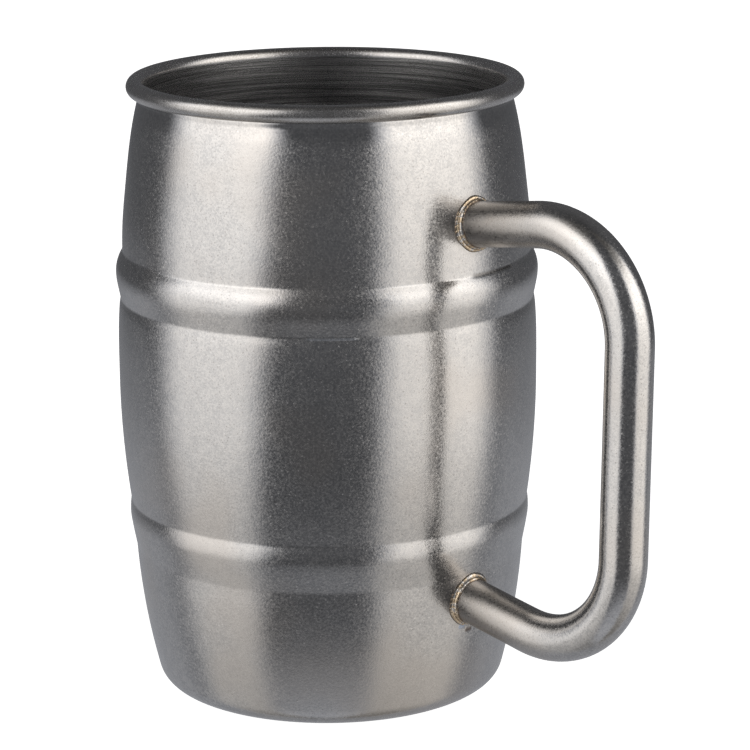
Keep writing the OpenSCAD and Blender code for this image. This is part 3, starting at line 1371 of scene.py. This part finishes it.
@dataclass
class Studio:
    """Camera, soft lights all round and a plain pale floor.

    Distances are millimetres and angles degrees. Each set of levels gives the light's
    brightness at some heights above the horizon. A box's near edge leans from the height
    lean_from up to lean_to, and is where its size says at lean_zero.
    """

    azimuth: float = 45.0
    distance: float = 687.35
    above_rim: float = 105.64
    turn: float = 0.850
    tilt: float = 14.033
    roll: float = -0.399
    lens: float = 155.94
    floor_radius: float = 2400.0
    floor_sides: int = 96
    floor_glow: float = 0.86
    floor_light: Colour = (0.82, 0.82, 0.82)
    floor_dark: Colour = (0.78, 0.78, 0.78)
    floor_tone: float = 0.80
    floor_clouds: Layer = Layer(60.0, tone=0.02)
    boxes: Tuple[SoftBox, ...] = (
        SoftBox(near=-38.0, far=-98.0, lean=0.35, level=1.0, far_level=0.88),
        SoftBox(near=31.0, far=96.5, lean=0.12, level=0.95, far_level=1.12),
    )
    lean_from: float = -40.0
    lean_to: float = 15.0
    lean_zero: float = -10.0
    behind: Span = (85.0, 125.0)
    box_levels: Dict[float, float] = field(
        default_factory=lambda: {
            -90.0: 0.22, -66.0: 0.28, -50.0: 0.48, -36.0: 0.60, -26.0: 0.72, -15.0: 1.18,
            0.0: 1.30, 14.0: 1.68, 28.0: 1.98, 44.0: 1.50, 54.0: 0.45, 68.0: 0.10,
        }
    )
    front_levels: Dict[float, float] = field(
        default_factory=lambda: {
            -90.0: 0.34, -70.0: 0.46, -55.0: 0.46, -44.0: 0.33, -33.0: 0.13, -23.0: 0.09,
            0.0: 0.125, 16.0: 0.10, 45.0: 0.12, 62.0: 0.08, 90.0: 0.05,
        }
    )
    back_levels: Dict[float, float] = field(
        default_factory=lambda: {
            -90.0: 0.30, -40.0: 0.38, -19.0: 0.36, -13.0: 0.22, -7.0: 0.11, 8.0: 0.10,
            45.0: 0.11, 90.0: 0.05,
        }
    )
    left_lamp: Colour = (1.0, 0.985, 0.97)
    right_lamp: Colour = (1.0, 0.97, 0.935)
    lamp_blend: Span = (-10.0, 50.0)
    surroundings: Colour = (0.955, 0.985, 1.06)
    light_map: int = 1024

    def place_camera(self, rim_z: float) -> None:
        """Puts the camera at the viewing angle and makes it the scene's camera.

        Args:
            rim_z: the height of the mug's rim, in millimetres.
        """
        around = Matrix.Rotation(math.radians(self.azimuth), 3, "Z")
        turn, tilt, roll = (math.radians(a) for a in (self.turn, self.tilt, self.roll))
        forward = around @ Vector(
            (math.sin(turn) * math.cos(tilt), math.cos(turn) * math.cos(tilt), -math.sin(tilt))
        )
        level = around @ Vector((math.cos(turn), -math.sin(turn), 0.0))
        lifted = level.cross(forward)
        right = math.cos(roll) * level + math.sin(roll) * lifted
        up = math.cos(roll) * lifted - math.sin(roll) * level
        data = bpy.data.cameras.new("camera")
        data.lens = self.lens
        camera = bpy.data.objects.new("camera", data)
        stand = around @ Vector((0.0, -self.distance, rim_z + self.above_rim)) * MM
        axes = Matrix((right, up, -forward)).transposed().to_4x4()
        camera.matrix_world = Matrix.Translation(stand) @ axes
        bpy.context.scene.collection.objects.link(camera)
        bpy.context.scene.camera = camera

    def light(self) -> None:
        """Makes the world: two soft boxes, dim surroundings, and white behind the mug.

        A ramp's colours stop at 1, so the boxes' levels go through theirs at half.
        """
        world = bpy.data.worlds.new("studio")
        bpy.context.scene.world = world
        shader = Shader(world)
        towards = shader.node("ShaderNodeTexCoord", output="Generated")
        x, y, z = shader.split(towards)
        a = math.radians(self.azimuth)
        front = x * math.sin(a) - y * math.cos(a)
        right = x * math.cos(a) + y * math.sin(a)
        bearing = right.angle_from(front) * math.degrees(1.0)
        rise = z.arcsine() * math.degrees(1.0)

        over = self.lean_to - self.lean_from
        height = ((rise - self.lean_from) / over).clamped() * over
        height = height - (self.lean_zero - self.lean_from)
        lit: Number = 0.0
        for box in self.boxes:
            sign = math.copysign(1.0, box.near)
            out = bearing * sign
            near = box.near * sign + height * box.lean * sign
            far = box.far * sign
            inner = out.rise(near - box.near_soft, near + box.near_soft)
            outer = 1.0 - out.rise(far - box.far_soft, far + box.far_soft)
            slope = (box.far_level - box.level) / (far - abs(box.near))
            level = (out - abs(box.near)) * slope + box.level
            lit = inner * outer * level + lit
        behind = abs(bearing).rise(*self.behind)
        halved = {at: level / 2 for at, level in self.box_levels.items()}
        box_level = shader.curve(rise, -90.0, 90.0, halved) * 2.0
        dim = shader.curve(rise, -90.0, 90.0, self.front_levels)
        back = shader.curve(rise, -90.0, 90.0, self.back_levels)
        rest = dim + (back - dim) * behind
        level = rest + (box_level - rest) * lit
        seen = shader.node("ShaderNodeLightPath", output="Is Camera Ray")
        strength = level * (1.0 - seen) + seen
        lamp = shader.mix(self.left_lamp, self.right_lamp, bearing.rise(*self.lamp_blend))
        tint = shader.mix(self.surroundings, lamp, lit)
        tint = shader.mix(tint, WHITE, seen)
        sky = {"Color": tint, "Strength": strength}
        glow = shader.node("ShaderNodeBackground", None, sky)
        out = shader.tree.nodes.new("ShaderNodeOutputWorld")
        shader.tree.links.new(glow.socket, out.inputs["Surface"])
        world.cycles.sampling_method = "MANUAL"
        world.cycles.sample_map_resolution = self.light_map

    def lay_floor(self) -> bpy.types.Object:
        """Makes the pale floor that the mug stands on."""
        angles = np.arange(self.floor_sides) * TURN / self.floor_sides
        ring = np.stack([np.cos(angles), np.sin(angles), np.zeros(self.floor_sides)], axis=1)
        floor = new_piece("floor", ring * self.floor_radius, [tuple(range(self.floor_sides))])
        paint = bpy.data.materials.new("floor_white")
        shader = Shader(paint)
        at = shader.position_mm()
        clouds = shader.noise(at, self.floor_clouds)
        tone = self.floor_tone + (clouds - 0.5) * self.floor_clouds.tone
        base = shader.mix(self.floor_dark, self.floor_light, tone)
        glow = {
            "Base Color": base, "Roughness": 0.9, "Specular IOR Level": 0.0,
            "Emission Color": (*WHITE, 1.0), "Emission Strength": self.floor_glow,
        }
        shader.surface("ShaderNodeBsdfPrincipled", glow)
        floor.data.materials.append(paint)
        floor.visible_glossy = False
        floor.visible_shadow = False
        return floor


def barrel_marks_and_painted_light() -> Tuple[Mark, ...]:
    """The barrel's few larger marks: a scratch ridge painted with a highlight, a groove painted dark
    as the handle arm's reflection in the hoop's crease, weld spatter and its blue bloom.
    """
    return (
        # painted highlight: the scratch's ridge painted near white, as if it caught light from above
        Mark((32.4, -31.3, 86.5), 6.0, 0.45, (0.97, 0.98, 1.0), strength=0.8, ridge=0.10),
        # painted reflection: the handle's upper arm mirrored dark in the hoop's crease, painted as a
        # dark groove
        Mark((43.7, 5.4, 96.6), 8.0, 0.7, (0.13, 0.115, 0.10), strength=0.75, ridge=-0.05),
        Mark((40.9, 0.3, 19.0), 1.2, 1.0, (0.15, 0.105, 0.08), strength=0.8, ridge=0.03),
        Mark((40.8, -1.9, 20.2), 1.2, 1.0, (0.38, 0.48, 0.66), strength=0.55, ridge=0.01),
    )


def main() -> None:
    """Loads the frame, builds and dresses each piece, and sets up the studio."""
    logging.basicConfig(level=logging.INFO, format="%(name)s: %(message)s")
    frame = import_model()
    cup_low, cup_high = (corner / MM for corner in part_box("inner_cup"))
    disc_low, disc_high = (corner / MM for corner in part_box("base_disc"))
    seam_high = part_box("base_seam_weld")[1] / MM

    studio = Studio()
    studio.place_camera(cup_high.z)

    barrel = Barrel(rim_radius=cup_high.x, height=cup_high.z)
    handle = Handle(barrel)
    roots = [(radius, 0.0, height) for radius, height in handle.roots]
    aged = TumbledSteel(
        tints=tuple(HeatTint(root) for root in roots),
        marks=barrel_marks_and_painted_light(),
        brushed_bands=((92.0, 9.0), (36.5, 8.0)),
        polished=(124.8, 128.2),
    )
    barrel.build(aged)
    InnerCup(cup_high.x, cup_high.z, cup_low.z).build(BrushedSteel())
    BaseDisc(disc_high.x, disc_low.z, disc_high.z).build(TumbledSteel(roughness=0.32))
    smoked = TumbledSteel(
        light=(0.67, 0.65, 0.63),
        dark=(0.53, 0.52, 0.51),
        roughness=0.19,
        brushing=0.0,
        tints=tuple(HeatTint(root, 8.0, 34.0, depth=0.5, dulling=0.13) for root in roots),
    )
    handle.build(smoked)
    bead = WeldedSteel().material("weld")
    HandleWeld(handle, 0).build("upper_weld", "upper_handle_weld", bead)
    HandleWeld(handle, 1).build("lower_weld", "lower_handle_weld", bead)
    seam = WeldedSteel(straw=(0.50, 0.46, 0.40)).material("seam")
    BaseSeam(seam_high.x, seam_high.z).build(seam)
    hidden = frame["nodes"]["lip_seam_weld"]
    hidden.data.materials.clear()
    hidden.data.materials.append(seam)

    studio.light()
    studio.lay_floor()
    bpy.context.scene.view_settings.view_transform = "Standard"


if __name__ == "__main__":
    main()
